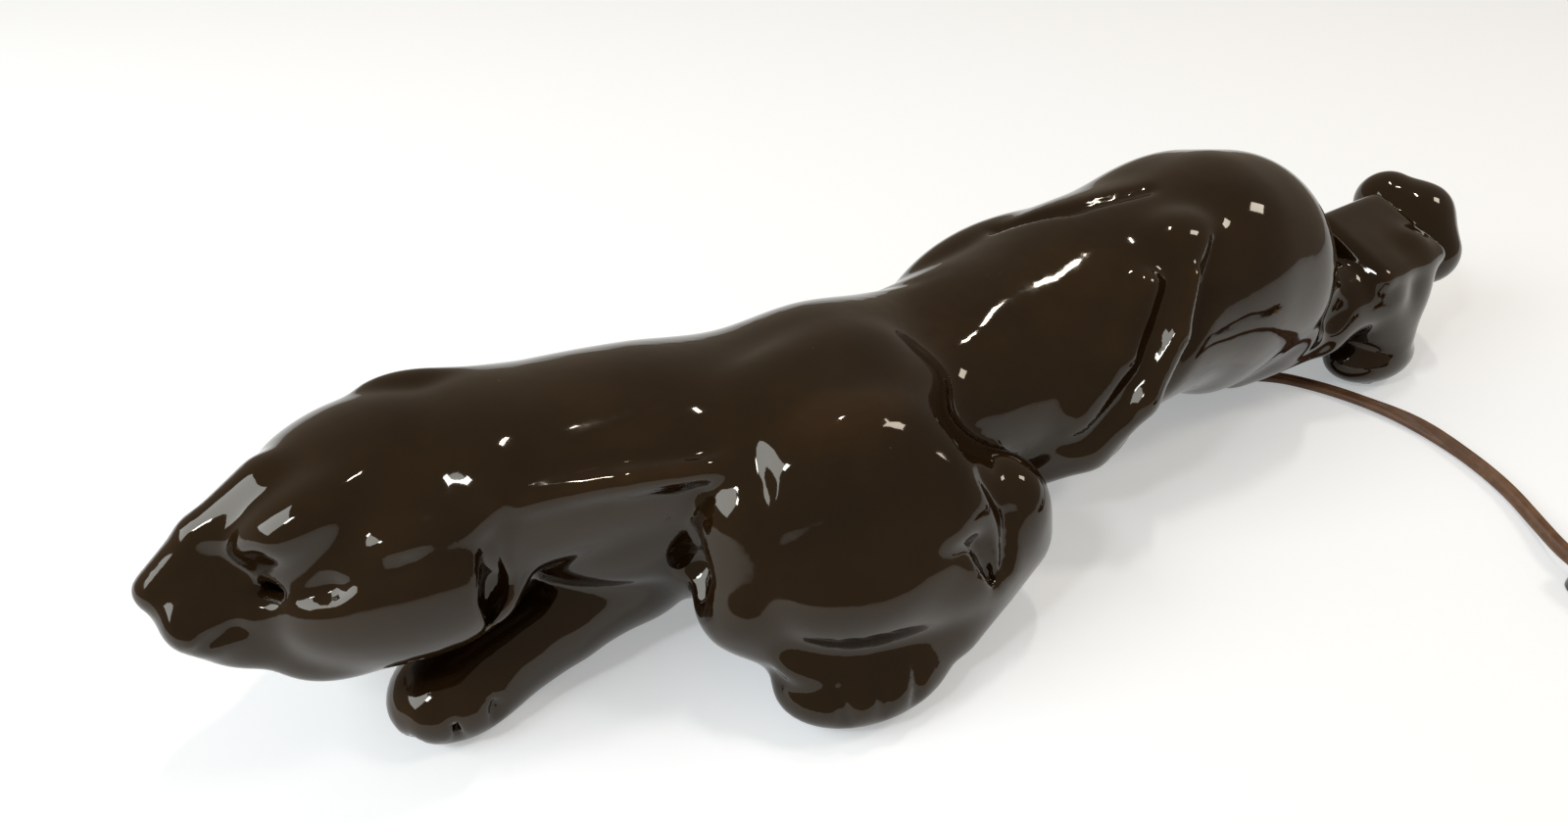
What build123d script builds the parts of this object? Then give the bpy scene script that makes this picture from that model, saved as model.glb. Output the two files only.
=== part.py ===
from build123d import *
from math import cos, degrees, pi, radians, sin, tan
import os

# A ceramic panther television lamp: a glazed hollow casting with its light inside.
# +X runs from the head to the tail, +Z is up, -Y is the panther's left side.
# The origin is on the shelf that the lamp stands on, under the middle of the casting.

# ---- driving dimensions, millimetres ----
body_length = 548.0
body_width = 148.0
body_height = 118.0
wall = 6.0  # thickness of the casting
pad_radius = 8.0
pad_thickness = 1.5
shelf_bottom = 22.0  # the flat under the rump that carries the lamp holder
shelf_thickness = 7.5
boss_height = 1.5
boss_radius = 11.0
screw_radius = 2.1
screw_clearance = 0.4
washer_thickness = 1.0
bracket_thickness = 1.6
bracket_width = 16.0
nut_height = 3.2
bulb_radius = 24.0
bulb_length = 89.0
bulb_base_radius = 12.9
thread_clearance = 0.4
nipple_radius = 4.8
cord_width = 6.6
lead_radius = 1.3
coil_turn_radius = 35.0  # middle of the turns
coil_turns = 6.5
coil_layers = 2
coil_pitch = 3.6  # the flat cord stands on edge in the coil
tie_thickness = 0.9
tie_width = 8.0
switch_length = 52.0
switch_width = 19.0
switch_height = 13.0
wheel_radius = 8.0
wheel_thickness = 4.6
plug_width = 25.0
plug_height = 17.0
plug_length = 30.0
cord_seat = 6.0  # how far a cord reaches into the switch or the plug
blade_spacing = 12.7
fit = 0.05  # running clearance of a shaft in its hole
gap = 0.3  # clearance between pieces that only pass each other

# The casting was set out at this size, and its stations follow the three sizes above.
SET_OUT = (548.0, 148.0, 118.0)
stretch = (body_length / SET_OUT[0], body_width / SET_OUT[1], body_height / SET_OUT[2])
girth = (stretch[1] + stretch[2]) / 2


def spot(x, y, z):
    """A place on the casting."""
    return (x * stretch[0], y * stretch[1], z * stretch[2])


def turned(yaw=0.0, pitch=0.0, roll=0.0):
    return Rot(0, 0, yaw) * Rot(0, -pitch, 0) * Rot(roll, 0, 0)


EGG_STATIONS = [cos(radians(angle)) for angle in (172, 155, 135, 112, 90, 68, 45, 25, 8)]


def egg(half_x, half_y, half_z):
    """An egg-shaped solid through rings along X, with a small flat at each end."""
    rings = []
    for share in EGG_STATIONS:
        around = (1 - share**2) ** 0.5
        place = Plane((half_x * share, 0, 0), x_dir=(0, 1, 0), z_dir=(1, 0, 0))
        rings.append(place * Ellipse(half_y * around, half_z * around))
    return loft(rings)


def blob(centre, radii, yaw=0.0, pitch=0.0, roll=0.0, inset=0.0):
    """A swelling of the casting."""
    size = [r * s - inset for r, s in zip(radii, stretch)]
    return Pos(*spot(*centre)) * turned(yaw, pitch, roll) * egg(*size)


def rod(start, end, start_radius, end_radius):
    """A round bar or taper between two points."""
    along = Vector(*end) - Vector(*start)
    middle = Plane(Vector(*start) + along * 0.5, z_dir=along)
    if abs(start_radius - end_radius) < 0.01:
        return middle * Cylinder(start_radius, along.length)
    return middle * Cone(start_radius, end_radius, along.length)


def limb(*stations):
    """A leg through (x, y, z, radius) stations, round at each of them."""
    placed = [(*spot(x, y, z), radius * girth) for x, y, z, radius in stations]
    joints = [Pos(*s[:3]) * Sphere(s[3]) for s in placed]
    return joints + [rod(a[:3], b[:3], a[3], b[3]) for a, b in zip(placed, placed[1:])]


def block(low, high):
    """A box between two corners."""
    middle = [(a + b) / 2 for a, b in zip(low, high)]
    return Pos(*middle) * Box(*[b - a for a, b in zip(low, high)])


def tube(outer, inner, low, high):
    """A ring about Z between two heights."""
    middle = Pos(0, 0, (low + high) / 2)
    return middle * (Cylinder(outer, high - low) - Cylinder(inner, high - low + 1))


def turn_on_lathe(profile):
    """A solid of revolution about Z from (radius, height) points."""
    outline = Polyline(*[(r, 0, z) for r, z in profile], close=True)
    return revolve(make_face(outline), Axis.Z)


def save(name, *pieces):
    solids = [s for piece in pieces for s in piece.solids()]
    whole = solids[0] if len(solids) == 1 else Compound(children=solids)
    export_step(whole, f"parts/{name}.step")


os.makedirs("parts", exist_ok=True)

# ---- the casting ----
# (x, y, middle height, half width, half height) from the nape to the rump
TRUNK = [
    (-199, 22, 75, 20, 19),
    (-179, 23, 74, 36, 28),
    (-149, 24, 70, 39, 29),
    (-116, 24, 64, 40, 32),
    (-82, 23, 57, 43, 37),
    (-52, 23, 55, 44, 43),
    (-12, 23, 54, 42, 37),
    (21, 24, 58, 46, 38),
    (56, 25, 62, 50, 44),
    (91, 25, 67, 47, 45),
    (131, 24, 71, 44, 47),
    (161, 22, 63, 38, 43),
    (179, 18, 52, 24, 32),
]


def trunk(stations, inset):
    sections = []
    for x, y, z, half_width, half_height in stations:
        place = Plane(spot(x, y, z), x_dir=(0, 1, 0), z_dir=(1, 0, 0))
        half = (half_width * stretch[1] - inset, half_height * stretch[2] - inset)
        sections.append(place * Ellipse(*half))
    return loft(sections)


LEFT_PAW = (-74, -52, 12)
RIGHT_PAW = (-198, 0, 12)
NEAR_HIND_PAW = (224, -4, 12)
FAR_HIND_PAW = (222, 52, 12)

head = [
    blob((-209, 28, 76), (42, 36, 27), pitch=12),
    blob((-211, 22, 62), (44, 35, 27), pitch=10),
    blob((-248, 21, 60), (26, 22, 21), pitch=14),
    blob((-180, 50, 90), (22, 9, 9), yaw=-10, pitch=-6),
    blob((-180, 0, 88), (22, 9, 8), yaw=10, pitch=-6),
]
chest = [
    blob((-124, 18, 52), (50, 36, 26)),
    blob((-99, 12, 36), (38, 34, 26)),
    blob((-44, 56, 54), (46, 15, 30)),
]
right_foreleg = limb((-109, 34, 50, 26), (-134, 20, 30, 22), (-162, 8, 22, 16), (-186, 2, 14, 14))
right_foreleg.append(blob(RIGHT_PAW, (24, 19, 15), yaw=15))
left_foreleg = [
    blob((-66, -24, 60), (44, 27, 44), pitch=-8),
    blob((-74, -34, 44), (34, 22, 32)),
    *limb((-99, -16, 58, 22), (-102, -28, 38, 20), (-92, -36, 24, 14)),
    *limb((-48, -32, 56, 26), (-12, -34, 42, 19)),
    *limb((-14, -38, 34, 18), (-48, -50, 18, 16)),
    blob(LEFT_PAW, (32, 22, 14)),
]
hindquarters = [
    blob((44, 58, 70), (46, 16, 22), yaw=4, pitch=6),
    blob((128, 8, 64), (44, 30, 50)),
    blob((132, 48, 68), (48, 26, 46)),
    blob((146, 12, 26), (38, 20, 22)),
    blob((148, 44, 22), (36, 18, 22)),
    blob((64, -2, 38), (34, 18, 24)),
    blob((165, 20, 60), (24, 30, 36)),
    *limb((146, 10, 24, 14), (186, 2, 36, 14), (210, 0, 52, 13)),
    *limb((211, -2, 50, 14), (224, -4, 22, 14)),
    blob(NEAR_HIND_PAW, (22, 16, 13)),
    *limb((148, 44, 24, 14), (186, 50, 36, 14), (210, 52, 52, 13), (222, 52, 22, 13)),
    blob(FAR_HIND_PAW, (22, 14, 13)),
]
tail = [
    blob((220, 14, 62), (28, 22, 15), roll=18),
    blob((258, 26, 56), (16, 33, 16), roll=24),
]

outside = trunk(TRUNK, 0)
for group in (head, chest, right_foreleg, left_foreleg, hindquarters, tail):
    outside = outside.fuse(*group)
above_pads = block((-body_length, -body_width, pad_thickness), (body_length, body_width, 2 * body_height))
outside = outside & above_pads

hollow = trunk(TRUNK[1:-1], wall).fuse(
    blob((-212, 26, 70), (42, 34, 27), pitch=12, inset=wall),
    blob((-66, -20, 60), (42, 25, 40), pitch=-8, inset=wall),
    blob((132, 46, 68), (46, 26, 44), inset=wall),
)

# places of the lamp holder and the cord hole
screw_x, lamp_y, lamp_z = spot(118, 24, 60)
bracket_x = spot(131, 24, 60)[0]  # the face that the holder is drawn up to
cord_hole_x = spot(150, 24, 0)[0]
grommet_flange = 1.5
grommet_waist = 5.6
grommet_bore = cord_width / 2 + 0.2
shelf_top = shelf_bottom + shelf_thickness
boss_top = shelf_top + boss_height
shelf_front, shelf_back = screw_x - 14, cord_hole_x + 12
shelf_half = 14.0

channel = block(
    (shelf_front, lamp_y - shelf_half, -1), (spot(200, 0, 0)[0], lamp_y + shelf_half, shelf_bottom)
)
belly_hole = block(spot(-30, 6, -5), (shelf_front, spot(0, 42, 0)[1], spot(0, 0, 50)[2]))
window = block(spot(2, 45, 30), spot(98, 100, 64))
window = fillet(window.edges().filter_by(Axis.Y), 12 * girth)
shelf = block((shelf_front, lamp_y - shelf_half, shelf_bottom), (shelf_back, lamp_y + shelf_half, shelf_top))
boss = Pos(screw_x, lamp_y, (shelf_top + boss_top) / 2) * Cylinder(boss_radius, boss_height)
washer_seat = Pos(screw_x, lamp_y, boss_top + 4) * Cylinder(boss_radius, 8)  # clear above the boss
screw_hole = Pos(screw_x, lamp_y, shelf_top) * Cylinder(screw_radius + screw_clearance, 4 * shelf_thickness)
cord_hole = Pos(cord_hole_x, lamp_y, shelf_bottom) * Cylinder(grommet_waist + 0.05, 4 * shelf_thickness)


def eye_slit(x, y, z, toward_y):
    """A narrow almond slit that lets the light out, running inward and back."""
    inward = Vector(22, toward_y - y, -6)
    place = Plane(Vector(*spot(x, y, z)) + inward * 0.35, x_dir=(0.35, 0.2, 0.9), z_dir=inward)
    return place * extrude(Ellipse(2.6, 9.0), inward.length * 0.8, both=True)


eyes = [eye_slit(-240, -1, 76, 20), eye_slit(-240, 49, 78, 28)]
casting = outside - channel - hollow
casting = casting.fuse(shelf, boss) - washer_seat - belly_hole - window - screw_hole - cord_hole
for slit in eyes:
    casting = casting - slit
save("ceramic_panther", casting)

pads = []
for x, y, z in (LEFT_PAW, RIGHT_PAW, NEAR_HIND_PAW, FAR_HIND_PAW):
    pads.append(Pos(*spot(x, y, 0)) * Pos(0, 0, pad_thickness / 2) * Cylinder(pad_radius, pad_thickness))
save("felt_pads", *pads)

# ---- lamp holder: bracket and its screw ----
bracket_foot = boss_top + washer_thickness
foot_top = bracket_foot + bracket_thickness
upright_top = lamp_z + 12
foot = block(
    (screw_x - 9, lamp_y - bracket_width / 2, bracket_foot),
    (bracket_x + bracket_thickness, lamp_y + bracket_width / 2, foot_top),
)
upright = block(
    (bracket_x, lamp_y - bracket_width / 2, bracket_foot),
    (bracket_x + bracket_thickness, lamp_y + bracket_width / 2, upright_top),
)
bend = Pos(bracket_x, lamp_y, foot_top) * Box(3, bracket_width, 3, align=(Align.MAX, Align.CENTER, Align.MIN))
bend_cut = Pos(bracket_x - 3, lamp_y, foot_top + 3) * Rot(90, 0, 0) * Cylinder(3, bracket_width + 1)
bracket = foot + upright + (bend - bend_cut)
bracket -= Pos(screw_x, lamp_y, bracket_foot) * Cylinder(screw_radius + screw_clearance, 10)
bracket -= Pos(bracket_x, lamp_y, lamp_z) * Rot(0, 90, 0) * Cylinder(nipple_radius + 0.1, 10)
save("socket_bracket", bracket)

at_screw = Pos(screw_x, lamp_y, 0)
head_top = shelf_bottom - washer_thickness
lock_washer_top = foot_top + 0.8
nut_top = lock_washer_top + nut_height
screw_head = turn_on_lathe([(0, head_top - 2.6), (2.6, head_top - 2.6), (4, head_top - 1.4), (4, head_top), (0, head_top)])
screw_slot = Pos(0, 0, head_top - 2.6) * Box(9, 1.1, 2.4)
shank = Pos(0, 0, (head_top + nut_top + 2) / 2) * Cylinder(screw_radius, nut_top + 2 - head_top)
save("bracket_screw", at_screw * (screw_head + shank - screw_slot))
fibre = [tube(6, screw_radius + screw_clearance, low, low + washer_thickness) for low in (head_top, boss_top)]
save("fibre_washers", *[at_screw * ring for ring in fibre])
lock_ring = tube(4.2, screw_radius + fit, foot_top, lock_washer_top)
lock_ring -= Pos(3, 0, (foot_top + lock_washer_top) / 2) * Box(4, 0.8, 2)
save("lock_washer", at_screw * lock_ring)
hexagon = extrude(RegularPolygon(4.6, 6), nut_height)
nut = Pos(0, 0, lock_washer_top) * (hexagon - Cylinder(screw_radius + fit, 4 * nut_height))
save("bracket_nut", at_screw * nut)

# ---- lamp holder: socket, set out along its own axis from the bracket toward the head ----
lamp = Plane((bracket_x, lamp_y, lamp_z), x_dir=(0, 0, 1), z_dir=(-1, 0, 0)).location
base_tip = 21.0
shell_inner = bulb_base_radius + thread_clearance
shell_outer = shell_inner + 0.5
liner_inner = shell_outer + 0.2
liner_outer = liner_inner + 0.8
sleeve_inner = liner_outer + 0.2
sleeve_outer = sleeve_inner + 1.8
cap_depth = 14.0
block_low, block_high = 8.0, 17.0
sleeve_end = 42.0

nipple = tube(nipple_radius, nipple_radius - 1.4, -bracket_thickness - 5, 4.5)
save("socket_nipple", lamp * nipple)
nipple_nut = Pos(0, 0, -bracket_thickness - 2.4) * extrude(RegularPolygon(8, 6), 2.4)
nipple_nut -= Cylinder(nipple_radius + fit, 40)
save("nipple_nut", lamp * nipple_nut)
cap_outside = [(0, 0), (11, 0), (sleeve_outer, 6), (sleeve_outer, cap_depth), (0, cap_depth)]
cap_inside = [(0, 2), (10, 2), (sleeve_outer - 2, 7.4), (sleeve_outer - 2, cap_depth + 1), (0, cap_depth + 1)]
socket_cap = turn_on_lathe(cap_outside) - turn_on_lathe(cap_inside) - Cylinder(nipple_radius + 0.1, 10)
save("socket_cap", lamp * socket_cap)
terminal_block = Pos(0, 0, (block_low + block_high) / 2) * Cylinder(sleeve_outer - 2.4, block_high - block_low)
terminal_block -= Pos(0, 0, block_low) * Box(9, 2 * sleeve_outer, 7)
shell_low = block_high
screw_shell = tube(shell_outer, shell_inner, shell_low, sleeve_end - 3)
screw_shell += tube(shell_outer, 9, shell_low, shell_low + 0.6)
save("screw_shell", lamp * screw_shell)
tongue = [(-6, 17), (6, 17), (6, 17.5), (1, 18), (3, 20.6), (-3, 20.6), (-1.5, 18), (-6, 17.5)]
contact = extrude(make_face(Polyline(*[(x, 0, z) for x, z in tongue], close=True)), 2.5, dir=(0, 1, 0), both=True)
save("centre_contact", lamp * contact)
liner = tube(liner_outer, liner_inner, shell_low, sleeve_end - 1)
save("socket_liner", lamp * liner)
sleeve = tube(sleeve_outer, sleeve_inner, block_high, sleeve_end)
sleeve += tube(sleeve_outer, sleeve_outer - 2.2, cap_depth, block_high)
save("socket_sleeve", lamp * sleeve)
terminal_x = 9.2
terminals = []
for side in (-1, 1):
    terminal = Cylinder(2.6, 1.6) + Pos(0, 0, 2.4) * Cylinder(1.6, 3.2) - Pos(0, 0, -0.8) * Box(6, 0.7, 1)
    terminals.append(Pos(side * terminal_x, 0, block_low - 0.8) * terminal)
    terminal_block -= Pos(side * terminal_x, 0, block_low) * Cylinder(1.6 + fit, 9)
save("terminal_block", lamp * terminal_block)
save("terminal_screws", *[lamp * terminal for terminal in terminals])

# ---- bulb ----
glass_top = base_tip + bulb_length
base_low, base_high = base_tip + 4, base_tip + 25


def glass(inset):
    """The bulb's glass, thinner than its outline by inset."""
    neck = bulb_base_radius - 1.2 - inset
    wide = bulb_radius - inset
    middle = glass_top - bulb_radius
    start = base_high - 3
    side = Spline(
        [(neck, 0, start + 6), (neck + (wide - neck) * 0.4, 0, middle - 26), (wide, 0, middle)],
        tangents=[(0, 0, 1), (0, 0, 1)],
    )
    end = CenterArc((0, 0, middle), wide, 0, 90)
    crown = ThreePointArc(
        (wide, 0, middle),
        (wide * cos(pi / 4), 0, middle + wide * sin(pi / 4)),
        (0, 0, middle + wide),
    )
    low = start + inset
    rest = Polyline((0, 0, middle + wide), (0, 0, low), (neck, 0, low), (neck, 0, start + 6))
    return revolve(make_face(Wire([*side.edges(), *crown.edges(), *rest.edges()])), Axis.Z)


save("bulb_glass", lamp * (glass(0) - glass(0.8)))
base_wall = tube(bulb_base_radius, bulb_base_radius - 0.5, base_low, base_high)
save("bulb_base", lamp * base_wall)
insulator = turn_on_lathe(
    [(0, base_tip + 1.4), (5, base_tip + 1.4), (bulb_base_radius - 0.6, base_low + 0.4), (bulb_base_radius - 0.6, base_low + 2), (0, base_low + 2)]
)
save("bulb_insulator", lamp * insulator)
tip = turn_on_lathe([(0, base_tip), (3, base_tip), (4.6, base_tip + 1), (4.6, base_tip + 1.4), (0, base_tip + 1.4)])
save("bulb_tip", lamp * tip)
stem_top = base_high + 22
stem_base = base_high - 2.2 + 0.8
stem = turn_on_lathe([(0, stem_base), (8, stem_base), (4, stem_base + 6), (3, stem_top), (0, stem_top)])
save("bulb_stem", lamp * stem)
support_top = stem_top + 12
wires = [rod((side * 1.6, 0, stem_top + gap), (side * 8, 0, support_top), 0.45, 0.45) for side in (-1, 1)]
save("bulb_supports", *[lamp * wire for wire in wires])
filament_end, filament_middle = 7.1, (0, 0, support_top + 3)
filament = Pos(*filament_middle) * Sphere(0.35)
for side in (-1, 1):
    filament += rod((side * filament_end, 0, support_top), filament_middle, 0.35, 0.35)
save("bulb_filament", lamp * filament)

# ---- cord ----
cord_radius = cord_width / 2
floor = cord_radius  # height of a cord's middle when it lies on the shelf
exit_z = shelf_bottom - grommet_flange
grommet_profile = [
    (grommet_bore, exit_z),
    (8, exit_z),
    (8, shelf_bottom),
    (grommet_waist, shelf_bottom),
    (grommet_waist, shelf_top),
    (8, shelf_top),
    (8, shelf_top + grommet_flange),
    (grommet_bore, shelf_top + grommet_flange),
]
at_hole = Pos(cord_hole_x, lamp_y, 0)
save("cord_grommet", at_hole * turn_on_lathe(grommet_profile))
knot_low = shelf_top + grommet_flange
knot_height = 10.0
tail_piece = Pos(0, 0, (exit_z + knot_low) / 2) * Cylinder(cord_radius, knot_low - exit_z)
knot = Pos(0, 0, knot_low + knot_height / 2) * egg(8, 7, knot_height / 2 + 0.4)
knot = knot & Pos(0, 0, knot_low) * Box(30, 30, knot_height, align=(Align.CENTER, Align.CENTER, Align.MIN))
save("cord_knot", at_hole * (tail_piece + knot))


def smooth_run(name, points, radius):
    """A tube along straight runs joined by arcs as large as the runs allow."""
    points = [Vector(*p) for p in points]
    radii = []
    for before, here, after in zip(points, points[1:], points[2:]):
        shorter = min((here - before).length, (after - here).length)
        half_turn = radians((here - before).get_angle(after - here)) / 2
        radii.append(0.45 * shorter / tan(half_turn))
    path = FilletPolyline(*points, radius=radii) if radii else Line(*points)
    section = Plane(points[0], z_dir=points[1] - points[0]) * Circle(radius)
    solid = sweep(section, path=path)
    share = solid.volume / (pi * radius**2 * path.length)
    print(name, "length", round(path.length, 1), "volume share", round(share, 4))
    print("  arc radii", [round(r, 1) for r in radii])
    return solid


leads = []
for side in (-1, 1):
    route = [
        (bracket_x - block_low + 1.6, lamp_y + side * 1.5, lamp_z + side * 0.6),
        (bracket_x + 8, lamp_y + side * 1.5, lamp_z + side * 0.6),
        (cord_hole_x - 2, lamp_y + side * 2.2, lamp_z - 7),
        (cord_hole_x + 1, lamp_y + side * 2.4, knot_low + knot_height + 0.3),
    ]
    leads.append(smooth_run("lead", route, lead_radius))
save("lamp_leads", *leads)

# From the grommet under the rump, out behind the near thigh, and along the shelf.
LAMP_TO_SWITCH = [
    (cord_hole_x, lamp_y, exit_z),
    (cord_hole_x, lamp_y, 13),
    (155, 23, 5.6),
    (165, 19.5, floor),
    (182, 10, floor),
    (193, -4, floor),
    (202, -20, floor),
    (210, -42, floor),
    (212.5, -66, floor),
    (208.5, -89, floor),
    (199.5, -108, floor),
    (190.2, -124.1, switch_height / 2),
    (188.9, -137, switch_height / 2),
]
SWITCH_END = LAMP_TO_SWITCH[-1]
switch_heading = Vector(-0.1, -0.995, 0).normalized()
switch_middle = Vector(*SWITCH_END) + switch_heading * (switch_length / 2 - cord_seat)
switch_out = Vector(*SWITCH_END) + switch_heading * (switch_length - 2 * cord_seat)
coil_swing = coil_turns / coil_layers / 2 * coil_pitch  # half the width of the turns
outer_turn = coil_turn_radius + coil_swing
coil_low = tie_thickness + 0.1
coil_x, coil_y = switch_out.X + 1 + outer_turn, switch_out.Y - 40
beyond_switch = switch_out + switch_heading * 13
SWITCH_TO_COIL = [
    (switch_out.X, switch_out.Y, switch_height / 2),
    (beyond_switch.X, beyond_switch.Y, switch_height / 2),
    (coil_x - outer_turn + 0.3, coil_y + 12, 4.9),
    (coil_x - outer_turn, coil_y, coil_low + cord_radius),
]
top_turn = coil_low + 1.5 * cord_width
PLUG_SEAT = (265.5, -158.0, plug_height / 2)
plug_heading = Vector(0.04, 1, 0).normalized()
COIL_TO_PLUG = [
    (coil_x + outer_turn - 0.6, coil_y - 6, top_turn),
    (coil_x + outer_turn + 0.6, coil_y + 9, top_turn - 0.6),
    (265.2, -180, 8.0),
    (265.1, -167, 8.4),
    PLUG_SEAT,
]
save("cord_lamp_side", smooth_run("lamp side", LAMP_TO_SWITCH, cord_radius))
save("cord_mid", smooth_run("switch to coil", SWITCH_TO_COIL, cord_radius))
save("cord_plug_side", smooth_run("coil to plug", COIL_TO_PLUG, cord_radius))

coil_half = coil_swing + cord_width / 4 + 0.4
coil_high = coil_low + coil_layers * cord_width
coil = tube(coil_turn_radius + coil_half, coil_turn_radius - coil_half, coil_low, coil_high)
save("cord_coil", Pos(coil_x, coil_y, 0) * coil)
print("coil length", round(coil_turns * 2 * pi * coil_turn_radius, 1))
tie_low, tie_high = coil_turn_radius - coil_half - gap, coil_turn_radius + coil_half + gap
tie = block(
    (tie_low - tie_thickness, -tie_width / 2, 0),
    (tie_high + tie_thickness, tie_width / 2, coil_high + 0.1 + tie_thickness),
)
tie -= block((tie_low, -tie_width, tie_thickness), (tie_high, tie_width, coil_high + 0.1))
save("coil_tie", Pos(coil_x, coil_y, 0) * Rot(0, 0, -70) * tie)

# ---- switch on the cord ----
at_switch = Plane((switch_middle.X, switch_middle.Y, 0), x_dir=switch_heading, z_dir=(0, 0, 1)).location
split = switch_height / 2
wheel_y = 4.2
axle_radius = 1.5
outline = RectangleRounded(switch_length, switch_width, 6)
housing = extrude(outline, switch_height)
housing = fillet(housing.faces().sort_by(Axis.Z)[-1].edges(), 2)
housing = fillet(housing.faces().sort_by(Axis.Z)[0].edges(), 1)
housing -= Pos(0, wheel_y, split) * Cylinder(wheel_radius + 0.6, wheel_thickness + 2 * gap)
housing -= Pos(0, wheel_y, split) * Cylinder(axle_radius + 0.02, switch_height - 3)
housing -= Pos(0, 0, split) * Rot(0, 90, 0) * Cylinder(cord_radius + 0.15, switch_length + 1) - block(
    (-switch_length / 2 + cord_seat + gap, -9, 0), (switch_length / 2 - cord_seat - gap, 9, switch_height)
)
contact_x, fixing_x, fixing_y = 9.2, 13.5, -4.5
screw_holes, nut_pockets, contacts, switch_screws, switch_nuts = [], [], [], [], []
for side in (-1, 1):
    edge = side * contact_x
    housing -= Pos(edge, 0, split) * Box(2.2, 12, 5)
    contacts.append(Pos(edge, 0, split) * Box(0.5, 10, 4.2))
    at_fixing = Pos(side * fixing_x, fixing_y, 0)
    housing -= at_fixing * Pos(0, 0, split) * Cylinder(1.5, switch_height + 1)
    housing -= at_fixing * Pos(0, 0, switch_height - 0.8) * Cylinder(2.8, 2)
    housing -= at_fixing * Pos(0, 0, 0.9) * Cylinder(2.8, 2)
    countersunk = Pos(0, 0, switch_height - 1.2) * Cylinder(2.6, 1.2)
    countersunk += Pos(0, 0, switch_height / 2 - 0.3) * Cylinder(1.4, switch_height - 1.6)
    countersunk -= Pos(0, 0, switch_height - 0.7) * Box(6, 0.8, 0.7)
    switch_screws.append(at_fixing * countersunk)
    fixing_nut = Pos(0, 0, 0.4) * (extrude(RegularPolygon(2.7, 6), 1.4) - Cylinder(1.4 + fit, 9))
    switch_nuts.append(at_fixing * fixing_nut)
save("switch_upper_half", at_switch * (housing & block((-50, -50, split), (50, 50, 50))))
save("switch_lower_half", at_switch * (housing & block((-50, -50, 0), (50, 50, split))))
wheel = Cylinder(wheel_radius, wheel_thickness) - Cylinder(axle_radius + fit, wheel_thickness + 1)
notches = 24
for i in range(notches):
    wheel -= Rot(0, 0, 360 / notches * i) * Pos(wheel_radius + 0.25, 0, 0) * Cylinder(0.7, wheel_thickness + 1)
save("switch_wheel", at_switch * Pos(0, wheel_y, split) * wheel)
save("switch_axle", at_switch * Pos(0, wheel_y, split) * Cylinder(axle_radius, switch_height - 3))
save("switch_contacts", *[at_switch * piece for piece in contacts])
save("switch_screws", *[at_switch * piece for piece in switch_screws])
save("switch_nuts", *[at_switch * piece for piece in switch_nuts])

# ---- plug ----
plug_start = Vector(*PLUG_SEAT) - plug_heading * cord_seat
at_plug = Plane(plug_start, x_dir=plug_heading, z_dir=(0, 0, 1)).location


def plug_section(x, width, height, corner):
    return Plane((x, 0, 0), x_dir=(0, 1, 0), z_dir=(1, 0, 0)) * RectangleRounded(width, height, corner)


shoulder = 0.45 * plug_length
plug = loft([plug_section(0, 12, 10, 3), plug_section(shoulder, plug_width, plug_height, 4)])
plug += extrude(plug_section(shoulder, plug_width, plug_height, 4), plug_length - shoulder)
pocket_x = plug_length - 11
plug -= extrude(plug_section(pocket_x, plug_width - 4, plug_height - 4, 3), 20)
plug -= Pos(pocket_x / 2, 0, 0) * Rot(0, 90, 0) * Cylinder(1.8, pocket_x + 1)
plug -= Pos(0, 0, 0) * Rot(0, 90, 0) * Cylinder(cord_radius + 0.15, 2 * (cord_seat + gap))
save("plug_body", at_plug * plug)
core_end = plug_length - 1
blade_slots = [Pos(plug_length, side * blade_spacing / 2, 0) * Box(60, 1.5, 6.35) for side in (-1, 1)]
core = extrude(plug_section(pocket_x, plug_width - 4 - gap, plug_height - 4 - gap, 2.8), core_end - 2 - pocket_x)
cover = extrude(plug_section(plug_length, plug_width - 2, plug_height - 2, 3), 0.8)
plug_screws = []
for side, slot in zip((-1, 1), blade_slots):
    core -= slot
    cover -= Pos(plug_length, side * blade_spacing / 2, 0) * Box(6, 1.5 + 2 * gap, 6.35 + 2 * gap)
    screw = Pos(core_end - 1.2, side * (blade_spacing / 2 - 3.6), 0) * Rot(0, 90, 0) * Cylinder(2.0, 1.6)
    plug_screws.append(screw)
save("plug_core", at_plug * core)
save("plug_cover", at_plug * cover)
save("plug_screws", *[at_plug * screw for screw in plug_screws])
blade_from, blade_to = pocket_x + 2, plug_length + 16
blades = []
for side in (-1, 1):
    blade = block((blade_from, -0.75, -3.175), (blade_to, 0.75, 3.175))
    blade = chamfer(blade.faces().sort_by(Axis.X)[-1].edges(), 0.5)
    blade -= Pos(blade_to - 4, 0, 0) * Rot(90, 0, 0) * Cylinder(1.6, 5)
    blades.append(at_plug * Pos(0, side * blade_spacing / 2, 0) * blade)
save("plug_blades", *blades)
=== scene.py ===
"""A glazed ceramic panther television lamp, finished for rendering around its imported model."""
import math

import bpy
import numpy as np
from mathutils import Matrix, Vector


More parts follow.
